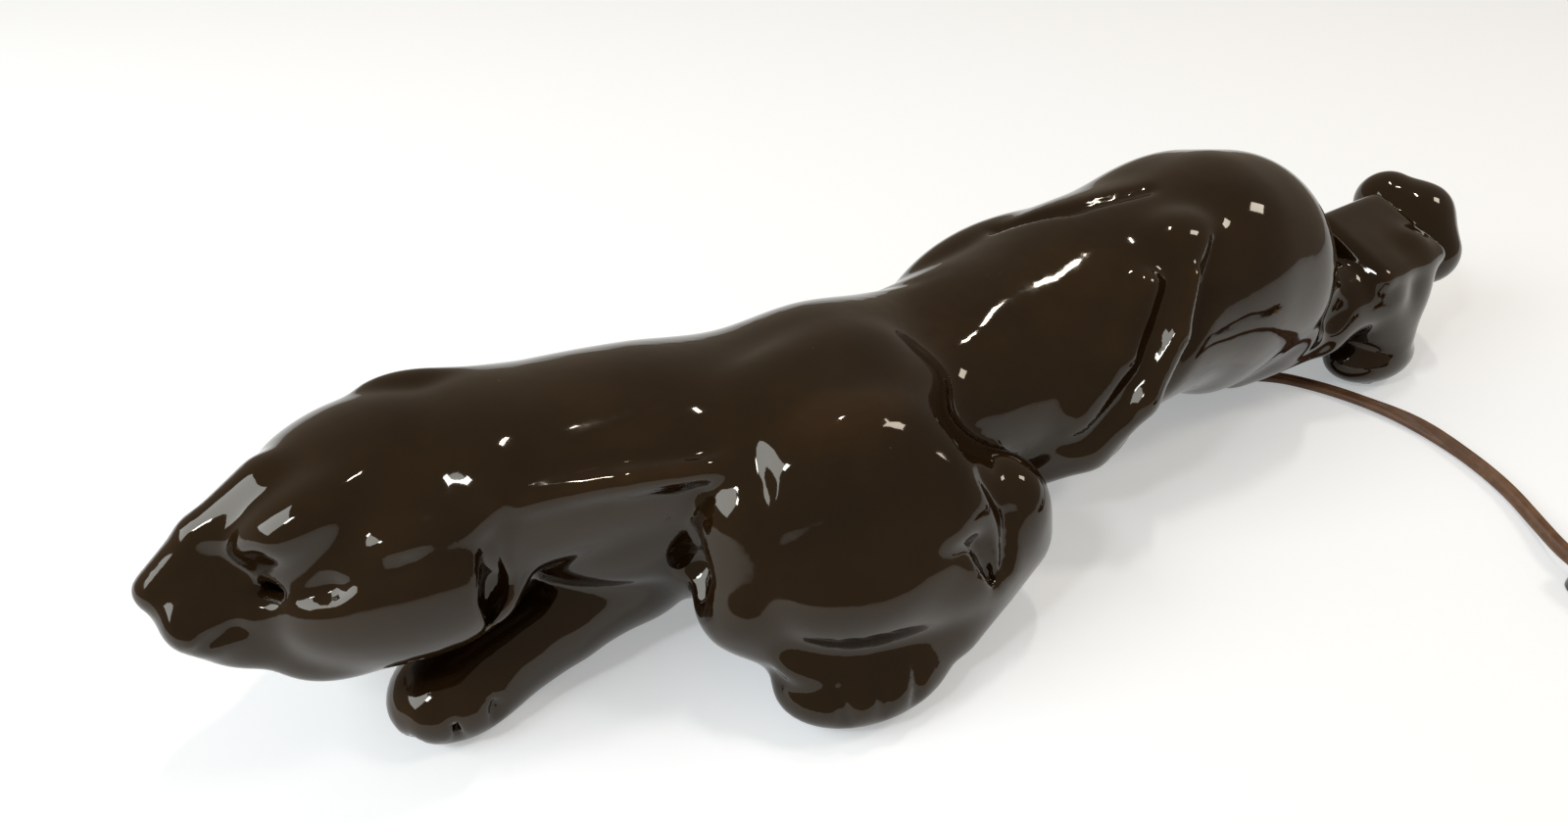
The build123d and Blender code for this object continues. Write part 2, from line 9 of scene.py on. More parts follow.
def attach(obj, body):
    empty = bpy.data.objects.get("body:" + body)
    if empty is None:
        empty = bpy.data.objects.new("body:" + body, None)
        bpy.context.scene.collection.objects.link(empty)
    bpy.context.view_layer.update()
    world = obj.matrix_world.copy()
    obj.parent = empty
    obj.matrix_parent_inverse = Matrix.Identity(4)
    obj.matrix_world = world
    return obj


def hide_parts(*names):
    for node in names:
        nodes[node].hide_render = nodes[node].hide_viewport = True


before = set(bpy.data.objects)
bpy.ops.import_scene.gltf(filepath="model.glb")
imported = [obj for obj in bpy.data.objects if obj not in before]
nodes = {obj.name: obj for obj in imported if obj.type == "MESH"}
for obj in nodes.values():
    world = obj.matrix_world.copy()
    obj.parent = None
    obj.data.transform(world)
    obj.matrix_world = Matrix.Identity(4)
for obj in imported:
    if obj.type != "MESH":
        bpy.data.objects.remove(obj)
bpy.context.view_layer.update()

MM = 0.001

# ---- clay: a distance grid that the casting is modelled in, in millimetres ----
CLAY_STEP = 1.6
FAR = 60.0  # what the empty grid holds
SOFT_FIRING = 1.1  # how far the glaze rounds off edges, in grid steps
EVENING_PASSES, LEAST_SLOPE, PULL_BACK = 3, 0.2, 0.9  # how the skin is drawn on to the clay
LIMB_BLEND = 4  # how far one stretch of a limb runs into the next
TINY, TINIER = 1e-6, 1e-9  # keep a division from meeting zero


def melt(a, b, reach):
    """The nearer of two distances, run together where they come within reach."""
    if reach <= 0:
        return np.minimum(a, b)
    h = np.maximum(reach - np.abs(a - b), 0) / reach
    return np.minimum(a, b) - h * h * h * reach / 6


class Clay:
    """A block of clay: how far each grid point lies outside the surface."""

    def __init__(self, low, high, step):
        self.low, self.step = np.array(low, float), step
        self.count = np.ceil((np.array(high, float) - self.low) / step).astype(int) + 1
        self.axes = [self.low[i] + step * np.arange(self.count[i]) for i in range(3)]
        self.field = np.full(self.count, FAR, np.float32)

    def near(self, low, high):
        """The part of the grid between two corners, and its coordinates."""
        part = []
        for i in range(3):
            first = math.floor((low[i] - self.low[i]) / self.step)
            last = math.ceil((high[i] - self.low[i]) / self.step) + 1
            first, last = (int(np.clip(end, 0, self.count[i])) for end in (first, last))
            part.append(slice(first, max(first, last)))
        line = [self.axes[i][part[i]].astype(np.float32) for i in range(3)]
        return tuple(part), np.meshgrid(*line, indexing="ij", sparse=True)

    def work(self, shape, reach, how):
        low, high, distance = shape
        margin = 2 * reach + 2 * self.step + 2
        part, grid = self.near([v - margin for v in low], [v + margin for v in high])
        old = self.field[part]
        if old.size:
            self.field[part] = how(old, distance(*grid).astype(np.float32), 2 * reach)

    def add(self, shape, reach=6.0):
        self.work(shape, reach, melt)

    def carve(self, shape, reach=3.0):
        self.work(shape, reach, lambda old, new, soft: -melt(-old, new, soft))

    def soften(self, steps):
        """Rounds edges off, as a thick glaze does."""
        side = math.exp(-0.5 / steps**2)
        weight = 1 / (1 + 2 * side)
        for axis in range(3):
            move = np.swapaxes(self.field, 0, axis)
            move[1:-1] = weight * (move[1:-1] + side * (move[:-2] + move[2:]))


def turned(yaw=0.0, pitch=0.0, roll=0.0):
    """Rows are the turned x, y and z axes: yaw about z, pitch lifts x, roll about x."""
    cy, sy = math.cos(math.radians(yaw)), math.sin(math.radians(yaw))
    cp, sp = math.cos(math.radians(pitch)), math.sin(math.radians(pitch))
    cr, sr = math.cos(math.radians(roll)), math.sin(math.radians(roll))
    x, flat = np.array([cy * cp, sy * cp, sp]), np.array([-sy, cy, 0])
    up = np.cross(x, flat)
    return np.array([x, cr * flat + sr * up, -sr * flat + cr * up])


def egg(centre, radii, yaw=0.0, pitch=0.0, roll=0.0):
    """A swelling."""
    centre, radii, axes = np.array(centre, float), np.array(radii, float), turned(yaw, pitch, roll)
    extent = np.sqrt(((axes * radii[:, None]) ** 2).sum(0))

    def distance(x, y, z):
        away = (x - centre[0], y - centre[1], z - centre[2])
        along = [sum(axes[i, j] * away[j] for j in range(3)) for i in range(3)]
        share = np.sqrt(sum((along[i] / radii[i]) ** 2 for i in range(3))) + TINY
        slope = np.sqrt(sum((along[i] / radii[i] ** 2) ** 2 for i in range(3))) + TINIER
        return share * (share - 1) / slope

    return centre - extent, centre + extent, distance


def limb(*stations):
    """A round leg, crease or ridge through (x, y, z, radius) stations."""
    points = np.array(stations, float)
    low, high = (points[:, :3] - points[:, 3:]).min(0), (points[:, :3] + points[:, 3:]).max(0)

    def distance(x, y, z):
        best = None
        for start, end in zip(points[:-1], points[1:]):
            along = end[:3] - start[:3]
            away = (x - start[0], y - start[1], z - start[2])
            share = sum(away[i] * along[i] for i in range(3)) / (along @ along)
            share = np.clip(share, 0, 1)
            off = np.sqrt(sum((away[i] - share * along[i]) ** 2 for i in range(3)))
            off = off - start[3] - share * (end[3] - start[3])
            best = off if best is None else melt(best, off, LIMB_BLEND)
        return best

    return low, high, distance


def slab(centre, half, yaw=0.0, pitch=0.0, roll=0.0, corner=3.0):
    """A rounded block."""
    centre, half, axes = np.array(centre, float), np.array(half, float), turned(yaw, pitch, roll)
    extent = np.abs(axes * half[:, None]).sum(0)

    def distance(x, y, z):
        away = (x - centre[0], y - centre[1], z - centre[2])
        over = []
        for i in range(3):
            over.append(np.abs(sum(axes[i, j] * away[j] for j in range(3))) - half[i] + corner)
        outside = np.sqrt(sum(np.maximum(v, 0) ** 2 for v in over))
        inside = np.minimum(np.maximum(np.maximum(over[0], over[1]), over[2]), 0)
        return outside + inside - corner

    return centre - extent, centre + extent, distance


def upright(x_mid, y_mid, low_z, high_z, radius):
    """An upright drum with flat ends."""

    def distance(x, y, z):
        side = np.sqrt((x - x_mid) ** 2 + (y - y_mid) ** 2) - radius
        return np.maximum(side, np.abs(z - (low_z + high_z) / 2) - (high_z - low_z) / 2)

    low, high = (x_mid - radius, y_mid - radius, low_z), (x_mid + radius, y_mid + radius, high_z)
    return low, high, distance


def smooth_line(x, at, values):
    """A smooth curve through values at the stations."""
    at, values = np.array(at, float), np.array(values, float)
    slope = np.gradient(values, at)
    i = np.clip(np.searchsorted(at, x) - 1, 0, len(at) - 2)
    span = at[i + 1] - at[i]
    t = np.clip((x - at[i]) / span, 0, 1)
    start = (2 * t**3 - 3 * t**2 + 1) * values[i] + (t**3 - 2 * t**2 + t) * span * slope[i]
    end = (3 * t**2 - 2 * t**3) * values[i + 1] + (t**3 - t**2) * span * slope[i + 1]
    return start + end


def trunk(stations, inset=0.0):
    """The body through (x, y, z, half width, height above, height below) stations."""
    s = np.array(stations, float)
    low = np.array([s[0, 0], (s[:, 1] - s[:, 3]).min(), (s[:, 2] - s[:, 5]).min()])
    high = np.array([s[-1, 0], (s[:, 1] + s[:, 3]).max(), (s[:, 2] + s[:, 4]).max()])

    def distance(x, y, z):
        held = np.clip(x, s[0, 0], s[-1, 0])
        rows = [smooth_line(held, s[:, 0], s[:, j]) for j in range(1, 6)]
        mid_y, mid_z, half, above, below = rows
        dy, dz = y - mid_y, z - mid_z
        tall = np.where(dz > 0, above, below) - inset
        half = half - inset
        share = np.sqrt((dy / half) ** 2 + (dz / tall) ** 2) + TINY
        slope = np.sqrt((dy / half**2) ** 2 + (dz / tall**2) ** 2) + TINIER
        side = np.where(share > 0.05, share * (share - 1) / slope, -np.minimum(half, tall))
        over = np.abs(x - held)
        return np.where(over > 0, np.sqrt(np.maximum(side, 0) ** 2 + over**2), side)

    return low, high, distance


def sample(clay, values, points):
    """Grid values read between the grid points."""
    place = (points - clay.low) / clay.step
    first = np.clip(np.floor(place).astype(int), 0, clay.count - 2)
    t = place - first
    total = 0
    for corner in np.ndindex(2, 2, 2):
        weight = np.prod([t[:, d] if corner[d] else 1 - t[:, d] for d in range(3)], axis=0)
        at = first + corner
        total = total + weight * values[at[:, 0], at[:, 1], at[:, 2]]
    return total


def skin(clay):
    """The surface of the clay as points and four-sided faces, evened out along the surface."""
    field, count = clay.field, clay.count
    inside = field < 0
    filled = np.zeros(tuple(count - 1), np.int8)
    for i, j, k in np.ndindex(2, 2, 2):
        filled += inside[i:count[0] - 1 + i, j:count[1] - 1 + j, k:count[2] - 1 + k]
    active = (filled > 0) & (filled < 8)
    number = np.full(tuple(count - 1), -1, np.int64)
    cells = np.argwhere(active)
    number[active] = np.arange(len(cells))
    points = clay.low + clay.step * (cells + 0.5)
    quads = []
    for axis in range(3):
        across, other = (axis + 1) % 3, (axis + 2) % 3
        below, beyond = [slice(None)] * 3, [slice(None)] * 3
        below[axis], beyond[axis] = slice(0, count[axis] - 1), slice(1, count[axis])
        edges = np.argwhere(inside[tuple(below)] != inside[tuple(beyond)])
        keep = (edges[:, across] > 0) & (edges[:, other] > 0)
        keep &= (edges[:, across] < count[across] - 1) & (edges[:, other] < count[other] - 1)
        edges = edges[keep]
        outward = inside[edges[:, 0], edges[:, 1], edges[:, 2]]
        ring = []
        for du, dv in ((1, 1), (0, 1), (0, 0), (1, 0)):
            cell = edges.copy()
            cell[:, across] -= du
            cell[:, other] -= dv
            ring.append(number[cell[:, 0], cell[:, 1], cell[:, 2]])
        faces = np.stack(ring, -1)
        faces[~outward] = faces[~outward][:, ::-1]
        quads.append(faces)
    quads = np.concatenate(quads)
    slopes = np.gradient(field, clay.step)
    for _ in range(EVENING_PASSES):
        total, degree = np.zeros_like(points), np.zeros(len(points))
        for a, b in ((0, 1), (1, 2), (2, 3), (3, 0)):
            np.add.at(total, quads[:, a], points[quads[:, b]])
            np.add.at(total, quads[:, b], points[quads[:, a]])
            np.add.at(degree, quads[:, a], 1)
            np.add.at(degree, quads[:, b], 1)
        points = 0.5 * points + 0.5 * total / degree[:, None]
        for _ in range(2):
            off = sample(clay, field, points)
            slope = np.stack([sample(clay, part, points) for part in slopes], -1)
            back = off / np.maximum((slope**2).sum(1), LEAST_SLOPE)
            points = points - back[:, None] * slope * PULL_BACK
    return points, quads


# ---- the casting ----
# (x, y, z, half width, height above, height below) from the nape to the rump
TRUNK = [
    (-199, 22, 76, 20, 18, 20), (-179, 23, 78, 36, 24, 32), (-149, 24, 75, 39, 24, 34),
    (-116, 24, 70, 40, 26, 38), (-82, 23, 60, 43, 31, 40), (-52, 23, 56, 44, 39, 44),
    (-12, 23, 55, 42, 36, 38), (21, 24, 58, 46, 38, 38), (56, 25, 62, 50, 44, 44),
    (91, 25, 66, 47, 46, 44), (131, 24, 68, 44, 50, 44), (161, 22, 62, 38, 44, 42),
    (179, 18, 54, 24, 30, 34),
]


def model_head(clay):
    clay.add(egg((-208, 28, 75), (42, 35, 27), pitch=12), 4)
    clay.add(egg((-210, 22, 62), (44, 35, 27), pitch=10), 5)
    clay.add(egg((-246, 21, 62), (26, 21, 18), pitch=12), 5)
    clay.add(egg((-204, -6, 60), (34, 14, 22), yaw=-6), 4)
    clay.add(egg((-204, 48, 64), (34, 13, 24), yaw=6), 4)
    clay.add(limb((-232, 26, 89, 10), (-252, 22, 82, 7), (-268, 19, 71, 6)), 4)  # nose
    clay.add(egg((-226, 10, 88), (20, 12, 9), pitch=20, roll=-20), 5)  # brow
    clay.add(egg((-226, 2, 44), (19, 12, 9), pitch=-6), 5)  # chin
    clay.add(egg((-259, 8, 64), (9, 8, 8)), 6)  # lip
    clay.add(egg((-241, 12, 52), (20, 15, 9), pitch=4), 5)  # lower jaw
    clay.add(egg((-184, 48, 92), (20, 8, 8), yaw=-10, pitch=-6), 3)  # ears, laid back
    clay.add(egg((-194, -4, 82), (17, 8, 6), yaw=6, pitch=-8), 4)
    for y, z in ((0, 78), (43, 80)):  # hollows of the eyes under the brow
        clay.carve(egg((-252, y, z), (15, 7, 8), pitch=30), 6)
    clay.carve(limb((-253, 14, 84, 1), (-246, 8, 77, 1.5), (-240, 1, 73, 1)), 3)
    mouth = [(-262, 3, 59, 1), (-257, 0, 63, 2), (-251, 0, 65, 2), (-246, -2, 62, 1)]
    clay.carve(limb(*mouth), 1)
    clay.carve(limb((-233, -5, 73, 1), (-224, -9, 77, 3.2), (-215, -12, 78, 1)), 1.5)
    clay.carve(limb((-210, -13, 78, 1), (-203, -14, 80, 2.2), (-195, -13, 83, 1)), 1.5)


def model_chest(clay):
    clay.add(egg((-124, 18, 52), (50, 34, 26)), 3)
    clay.add(egg((-99, 12, 36), (38, 34, 26)), 6)
    clay.add(egg((-44, 55, 51), (46, 15, 26)), 4)
    clay.carve(slab((-140, -28, 64), (36, 14, 22), yaw=-3, corner=4), 3)  # flat side of the neck
    clay.add(limb((-168, -8, 87, 4), (-137, -11, 84, 4), (-106, -15, 80, 4)), 2)
    clay.carve(limb((-167, -7, 94, 1.5), (-137, -8, 91, 2), (-108, -12, 87, 2)), 3)
    jaw_hollow = [(-170, -11, 91, 1), (-180, -14, 77, 3), (-182, -15, 62, 5), (-187, -12, 50, 3)]
    clay.carve(limb(*jaw_hollow), 2)


def model_forelegs(clay):
    far_leg = [(-107, 28, 47, 27), (-134, 13, 27, 23), (-161, 4, 21.5, 17), (-186, 0, 14, 16)]
    clay.add(limb(*far_leg), 4)
    clay.add(egg((-198, -1, 12), (24, 20, 15), yaw=15), 3)
    clay.add(limb((-99, -16, 58, 22), (-104, -28, 34, 20), (-94, -38, 22, 16)), 3)
    clay.add(egg((-66, -22, 57), (42, 26, 37), pitch=-6), 7)
    clay.add(egg((-70, -38, 43), (38, 27, 26)), 4)
    clay.add(egg((-64, -4, 84), (40, 24, 11), roll=14), 9)  # slope up to the withers
    clay.add(limb((-48, -32, 56, 26), (-16, -34, 42, 19)), 5)
    clay.add(egg((-16, -40, 46), (16, 17, 22), pitch=10), 2)  # elbow
    clay.add(limb((-14, -38, 32, 18), (-46, -52, 18, 15)), 4)
    clay.add(egg((-44, -46, 36), (32, 19, 19)), 5)
    clay.add(egg((-76, -53, 12), (33, 22, 14)), 3)
    clay.add(egg((-74, -50, 25), (34, 17, 9), pitch=-2, roll=20), 4)  # wrist
    clay.carve(slab((-62, -64, 86), (33, 40, 20), roll=50, pitch=3, corner=5), 3)  # shoulder plane
    clay.carve(limb((-120, -17, 60, 2), (-121, -21, 47, 7), (-122, -26, 38, 3)), 2.5)
    clay.carve(limb((-99, -14, 92, 1.5), (-103, -29, 81, 3), (-107, -45, 60, 2)), 3)
    clay.carve(limb((-58, -62, 60, 1), (-39, -58, 54, 3), (-35, -60, 38, 2)), 2.5)
    clay.carve(limb((-32, -46, 72, 1.5), (-25, -55, 58, 3), (-29, -60, 42, 2)), 2.5)


def model_hindquarters(clay):
    clay.add(egg((42, 58, 69), (47, 17, 24), yaw=4, pitch=6), 3)
    clay.add(egg((123, 10, 66), (38, 29, 49), pitch=10), 5)
    clay.add(egg((119, 48, 66), (55, 25, 44)), 5)
    clay.add(egg((154, 12, 35), (26, 19, 19)), 5)
    clay.add(egg((86, 4, 99), (17, 13, 13)), 6)  # hip
    clay.add(egg((148, 44, 22), (36, 18, 22)), 5)
    clay.add(egg((48, 0, 38), (26, 18, 26)), 5)
    clay.add(egg((46, -5, 32), (27, 15, 19), pitch=-8), 4)
    clay.add(limb((146, 10, 26, 14), (186, 2, 36, 14), (210, 0, 52, 13)), 4)
    clay.add(limb((212, 0, 46, 15), (228, -2, 22, 15)), 4)
    clay.add(egg((226, -3, 12), (24, 16, 13)), 3)
    far_shank = [(148, 44, 24, 14), (186, 50, 36, 14), (210, 52, 52, 13), (222, 52, 22, 13)]
    clay.add(limb(*far_shank), 4)
    clay.add(egg((222, 52, 12), (22, 14, 13)), 3)
    flank_fold = [
        (79, -12, 97, 4), (66, -22, 82, 6), (50, -26, 62, 9), (34, -20, 44, 13), (20, -12, 34, 12),
    ]
    clay.add(limb(*flank_fold), 5)
    clay.carve(limb((95, -6, 104, 1.5), (86, -16, 91, 3.5), (76, -23, 75, 5), (70, -25, 58, 4)), 4)
    before_fold = [
        (75, -10, 101, 1.5), (64, -18, 92, 2.5), (51, -27, 79, 4), (38, -31, 64, 5), (24, -28, 50, 3),
    ]
    clay.carve(limb(*before_fold), 4)
    clay.add(limb((62, -8, 96, 4), (44, -19, 77, 6), (28, -20, 58, 7)), 5)
    clay.carve(limb((40, 52, 93, 1.5), (62, 36, 106, 3), (90, 27, 112, 2)), 3)
    clay.carve(limb((-16, 54, 84, 3), (-4, 44, 92, 3), (8, 40, 95, 1.5)), 3)


def model_tail(clay):
    clay.add(slab((221, 13, 58), (26, 22, 13), pitch=-2, yaw=8, roll=18, corner=5), 3)
    clay.add(egg((231, 4, 38), (18, 18, 32)), 4)
    clay.add(limb((164, 6, 46, 20), (190, 4, 48, 15), (214, 4, 46, 14)), 4)
    clay.add(limb((260, 37, 64, 14), (264, 24, 60, 17), (260, 10, 50, 15)), 2)
    clay.carve(limb((250, -6, 63, 2), (242, 34, 80, 2)), 2)
    clay.carve(egg((177, -13, 56), (10, 6.5, 14)), 3)  # dimple behind the thigh


def tool_details(clay):
    """Creases and hollows cut with a tool."""
    for x, y in ((-94, -72), (-82, -76), (-69, -75)):
        clay.carve(limb((x - 1, y - 3, 4, 2), (x, y, 13, 2), (x + 2, y + 8, 21, 1)), 1)
    for x, y in ((-214, -10), (-203, -17), (-191, -18)):
        clay.carve(limb((x - 1, y - 4, 4, 1.6), (x, y, 14, 1.6), (x + 2, y + 8, 21, 1)), 1)
    clay.carve(egg((-16, 8, 103), (11, 30, 13), yaw=-20), 11)  # hollow behind the shoulders


def model_outside(clay):
    clay.add(trunk(TRUNK), 0)
    model_head(clay)
    model_chest(clay)
    model_forelegs(clay)
    model_hindquarters(clay)
    model_tail(clay)
    tool_details(clay)


def new_clay():
    return Clay((-290, -90, -8), (290, 90, 130), CLAY_STEP)


# The lamp inside: its axis runs level from the bracket toward the head.
FOOT = 1.5  # the paws stand this high, on felt
BULB_AXIS = (24.0, 60.0)
BRACKET_FACE = 131.0
SHELF_LOW, SHELF_HIGH, BOSS_TOP = 22.0, 29.5, 31.0
SCREW_AT, CORD_AT = (118.0, 24.0), (150.0, 24.0)
BOSS_RADIUS, SCREW_HOLE, CORD_HOLE, GROMMET_SEAT = 11, 2.8, 5.8, 8.5
WALL, THINNEST = 6, 4  # the casting's wall, and the least of it anywhere
GLAZE_ENDS = 1.2  # the faces this near the hollow are bare clay
EDGE_WEAR, EDGE_RELIEF = 2.2, 1.1  # how the glaze's thin edges are found


def model_hollow(outside):
    """The slip-cast hollow, which leaves the thinnest wall everywhere."""
    inside = new_clay()
    inside.add(trunk(TRUNK[1:-1], WALL), 0)
    inside.add(egg((-212, 24, 68), (34, 27, 20), pitch=12), 4)
    inside.add(egg((-66, -18, 60), (36, 19, 34), pitch=-8), 4)
    inside.add(egg((130, 42, 66), (40, 22, 38)), 4)
    inside.field = np.maximum(inside.field, outside.field + THINNEST)
    return inside


def open_casting(clay, hollow):
    """Takes out the hollow and every opening, and leaves the shelf that carries the lamp."""
    clay.field = -melt(-clay.field, hollow.field, 2)
    clay.carve(slab((50, 80, 47), (48, 36, 17), corner=11), 2)  # light window in the far side
    clay.carve(slab((37, 24, 20), (67, 18, 30), corner=6), 2)  # belly
    clay.carve(slab((152, 24, 0), (48, 14, SHELF_LOW), corner=1), 0.5)
    for y, z, toward in ((-1, 76, 1), (49, 78, -1)):  # eyes, cut right through
        slit = egg((-237, y + 6 * toward, z - 5), (18, 5.5, 1.7), yaw=44 * toward, pitch=-11)
        clay.carve(slit, 0.8)
    clay.soften(SOFT_FIRING)
    half_shelf = 0.5 * (SHELF_HIGH - SHELF_LOW)
    clay.add(slab((133, 24, SHELF_LOW + half_shelf), (29, 14, half_shelf), corner=0.8), 0.5)
    clay.carve(upright(*SCREW_AT, BOSS_TOP, BOSS_TOP + 8, BOSS_RADIUS), 0)
    clay.add(upright(*SCREW_AT, SHELF_HIGH - 2, BOSS_TOP, BOSS_RADIUS), 0)
    clay.carve(upright(*SCREW_AT, SHELF_LOW - 4, BOSS_TOP + 4, SCREW_HOLE), 0)
    clay.carve(upright(*CORD_AT, SHELF_LOW - 4, SHELF_HIGH + 12, CORD_HOLE), 0)
    clay.carve(upright(*CORD_AT, SHELF_HIGH, SHELF_HIGH + 12, GROMMET_SEAT), 0)
    under_feet = (FOOT - clay.axes[2])[None, None, :].astype(np.float32)
    clay.field = np.maximum(clay.field, under_feet)


def mesh_piece(name, points, faces, body, scale=MM):
    """A smooth mesh that rides on a body, from points in millimetres."""
    mesh = bpy.data.meshes.new(name)
    mesh.from_pydata([tuple(float(v) * scale for v in point) for point in points], [], faces)
    mesh.polygons.foreach_set("use_smooth", [True] * len(mesh.polygons))
    mesh.update()
    piece = bpy.data.objects.new(name, mesh)
    bpy.context.scene.collection.objects.link(piece)
    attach(piece, body)
    return piece


def fire_casting():
    """The casting as one mesh: glaze outside, bare clay inside, and where the glaze is thin."""
    clay = new_clay()
    model_outside(clay)
    hollow = model_hollow(clay)
    open_casting(clay, hollow)
    points, quads = skin(clay)
    centres = points[quads].mean(1)
    inner = sample(hollow, hollow.field, centres) < GLAZE_ENDS
    worn = new_clay()
    worn.field = clay.field.copy()
    for _ in range(2):
        worn.soften(EDGE_WEAR)
    thin = np.clip(sample(worn, worn.field - clay.field, points) / EDGE_RELIEF, -1, 1)
    piece = mesh_piece("panther_casting", points, quads.tolist(), ROOT)
    piece.data.materials.append(black_glaze())
    piece.data.materials.append(bare_clay())
    piece.data.polygons.foreach_set("material_index", inner.astype(np.int32))
    layer = piece.data.attributes.new("glaze_thin", "FLOAT", "POINT")
    layer.data.foreach_set("value", thin.astype(np.float32))
    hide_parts("ceramic_panther")


# ---- finishes ----
class Wire:
    """A value in a finish: a number, colour or direction on its way through the nodes."""

    def __init__(self, finish, socket):
        self.finish, self.socket = finish, socket

    def _sum(self, operation, *values):
        values = dict(enumerate(values))
        return self.finish.node("ShaderNodeMath", {"operation": operation}, values)

    def __add__(self, other):
        return self._sum("ADD", self, other)

    def __sub__(self, other):
        return self._sum("SUBTRACT", self, other)

    def __rsub__(self, other):
        return self._sum("SUBTRACT", other, self)

    def __mul__(self, other):
        return self._sum("MULTIPLY", self, other)

    __radd__, __rmul__ = __add__, __mul__

    def between(self, low, high):
        """0 below low, 1 above high, smooth between."""
        values = {"Value": self, "From Min": low, "From Max": high}
        return self.finish.node("ShaderNodeMapRange", {"interpolation_type": "SMOOTHSTEP"}, values)


class Finish:
    """A material under way."""

    def __init__(self, name):
        self.material = bpy.data.materials.new(name)
        self.material.use_nodes = True
        self.tree = self.material.node_tree
        self.tree.nodes.clear()
        self.place = self.node("ShaderNodeTexCoord", out="Object")

    def node(self, kind, settings=None, values=None, out=0):
        """A node with its settings and its sockets' values or links, and one of its outputs."""
        made = self.tree.nodes.new(kind)
        for key, value in (settings or {}).items():
            setattr(made, key, value)
        for key, value in (values or {}).items():
            if isinstance(value, Wire):
                self.tree.links.new(value.socket, made.inputs[key])
            else:
                made.inputs[key].default_value = value
        return Wire(self, made.outputs[out]) if out is not None else made

    def noise(self, grain, detail=3.0, roughness=0.5, stretch=None, swirl=0.0):
        """Cloudy variation with a grain in millimetres."""
        place = self.place
        if stretch:
            place = self.node("ShaderNodeMapping", None, {"Vector": place, "Scale": stretch})
        values = {"Vector": place, "Scale": 1000 / grain, "Detail": detail, "Roughness": roughness}
        return self.node("ShaderNodeTexNoise", None, {**values, "Distortion": swirl})

    def cells(self, grain):
        """Distance from scattered dots, with a spacing in millimetres."""
        values = {"Vector": self.place, "Scale": 1000 / grain}
        return self.node("ShaderNodeTexVoronoi", None, values)

    def blend(self, share, first, second):
        """The first colour, turning into the second as share grows."""
        values = {0: share}
        for key, colour in ((6, first), (7, second)):
            values[key] = colour if isinstance(colour, Wire) else (*colour, 1)
        return self.node("ShaderNodeMix", {"data_type": "RGBA"}, values, out=2)

    def surface(self, relief, depth, **values):
        """Ends the material: relief is a height from 0 to 1, standing depth millimetres high."""
        height = {"Height": relief, "Distance": depth * MM, "Strength": 1.0}
        values["Normal"] = self.node("ShaderNodeBump", None, height)
        named = {key.replace("_", " "): value for key, value in values.items()}
        shader = self.node("ShaderNodeBsdfPrincipled", None, named)
        self.node("ShaderNodeOutputMaterial", None, {"Surface": shader}, out=None)
        return self.material


def black_glaze():
    """A deep black-brown glaze, browner where it runs thin over an edge."""
    finish = Finish("black_glaze")
    thin = finish.node("ShaderNodeAttribute", {"attribute_name": "glaze_thin"}, out="Fac")
    pooled = finish.noise(38, 4, 0.6)
    edge = (thin + pooled * 0.5 - 0.25).between(0.15, 0.9)
    deep, lighter = (0.0110, 0.0048, 0.0010), (0.0170, 0.0078, 0.0018)
    brown = finish.blend(pooled.between(0.35, 0.7), deep, lighter)
    brown = finish.blend(edge * 0.8, brown, (0.040, 0.0180, 0.0055))
    specks = 1 - finish.cells(9).between(0.035, 0.06)
    sparse = finish.noise(21, 1).between(0.6, 0.68)
    dust = specks * sparse
    colour = finish.blend(dust * 0.5, brown, (0.16, 0.10, 0.06))
    smear = finish.noise(26, 5, 0.65, (1, 1, 3), 0.6).between(0.5, 0.8)
    roughness = 0.05 + smear * 0.08 + dust * 0.25
    waves = finish.noise(14, 2, 0.4)
    relief = waves + finish.noise(4.5, 1) * 0.06 - dust * 0.12
    tint = (1.0, 0.92, 0.80, 1)  # what the iron in the glaze lets back
    return finish.surface(
        relief, 0.16, Base_Color=colour, Roughness=roughness, IOR=1.47, Specular_Tint=tint,
    )


def bare_clay():
    """Unglazed clay with glaze splashed over it."""
    finish = Finish("bare_clay")
    splash = finish.noise(30, 4, 0.6, None, 1.0).between(0.46, 0.56)
    body = finish.blend(finish.noise(6, 5), (0.42, 0.33, 0.25), (0.58, 0.49, 0.39))
    colour = finish.blend(splash, body, (0.020, 0.011, 0.007))
    relief = finish.noise(1.6, 4) * (1 - splash * 0.8) + splash * 0.5
    return finish.surface(relief, 0.35, Base_Color=colour, Roughness=0.85 - splash * 0.65)


def metal(name, colour, tarnish, roughness):
    """Worked metal with fine turning lines and spots of tarnish."""
    finish = Finish(name)
    spots = finish.noise(5, 5, 0.7).between(0.45, 0.75)
    fine = finish.noise(0.7, 2, 0.5, (14, 1, 1))
    shade = finish.blend(spots, colour, tarnish)
    rough = roughness + spots * 0.25 + fine * 0.08
    relief = fine * 0.5 + spots * 0.3
    return finish.surface(relief, 0.04, Base_Color=shade, Metallic=1.0, Roughness=rough)


def moulded(name, colour, second, roughness, gloss=0.0):
    """A moulded insulating material with flow marks and scuffs."""
    finish = Finish(name)
    flow = finish.noise(12, 5, 0.6, None, 1.2).between(0.3, 0.75)
    scuff = finish.noise(2.2, 4, 0.7).between(0.62, 0.8)
    shade = finish.blend(flow, colour, second)
    rough = roughness + flow * 0.08 + scuff * 0.2
    relief = finish.noise(1.1, 3) + scuff * 0.6
    return finish.surface(relief, 0.05, Base_Color=shade, Roughness=rough, Coat_Weight=gloss)


